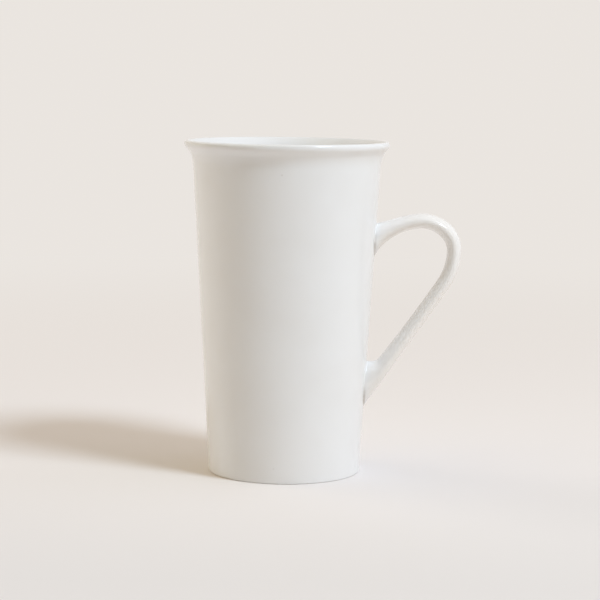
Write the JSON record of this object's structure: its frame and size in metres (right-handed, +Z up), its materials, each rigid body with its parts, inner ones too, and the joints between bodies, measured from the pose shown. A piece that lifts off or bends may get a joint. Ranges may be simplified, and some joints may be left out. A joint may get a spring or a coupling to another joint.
{
  "type": "tall mug",
  "caption": "Tall tapered porcelain mug with a flared rim and a slim ear-shaped handle.",
  "frame": {"origin": "On the cup's axis, in the plane that the foot ring stands on.", "axes": "+Z is up along the cup's axis and the longest extent. +X points from the axis to the handle. +Y is level, across the handle."},
  "size_m": [0.1252, 0.0924, 0.15],
  "materials": {
    "glaze": "glossy"
  },
  "bodies": {
    "root": {"mug": "glaze"}
  },
  "joints": []
}
